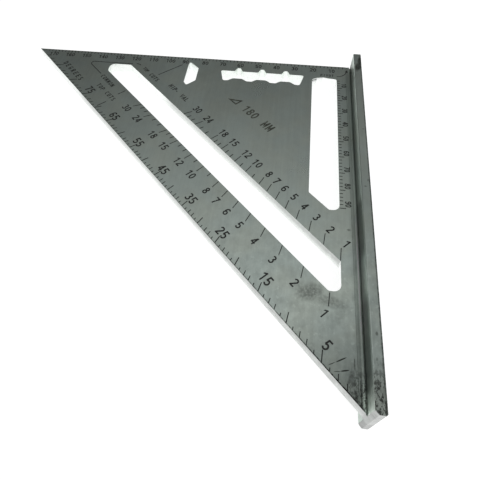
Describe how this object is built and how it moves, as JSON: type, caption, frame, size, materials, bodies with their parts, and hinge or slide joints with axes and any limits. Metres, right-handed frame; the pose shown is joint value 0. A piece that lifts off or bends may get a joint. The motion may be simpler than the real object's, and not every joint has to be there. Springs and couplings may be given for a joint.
{
  "type": "rafter layout square",
  "caption": "Triangular aluminium rafter square with a T-section fence, a slanted long slot and black angle, rafter and ruler scales.",
  "frame": {"origin": "pivot corner: where the fence's inner face meets the ruler edge, on the marked face", "axes": "+X across the fence away from the plate, +Y along the fence out past the ruler edge, +Z out of the marked face"},
  "size_m": [0.1839, 0.1813, 0.0216],
  "materials": {
    "plate_metal": "matt mill finish",
    "fence_metal": "matt mill finish",
    "black_fill": "matt black marking",
    "faded_print": "faded print"
  },
  "bodies": {
    "root": {"blade": "plate_metal", "fence": "fence_metal", "degree_ticks": "black_fill", "degree_numerals": "black_fill", "degree_heading": "black_fill", "common_ticks": "black_fill", "common_numerals": "black_fill", "common_heading": "black_fill", "hip_val_ticks": "black_fill", "hip_val_numerals": "black_fill", "hip_val_heading": "black_fill", "cuts_heading": "black_fill", "edge_ticks": "black_fill", "edge_numerals": "black_fill", "slot_ticks": "black_fill", "slot_numerals": "black_fill", "pivot_mark": "black_fill", "leader_lines": "black_fill", "size_mark": "faded_print"}
  },
  "joints": []
}
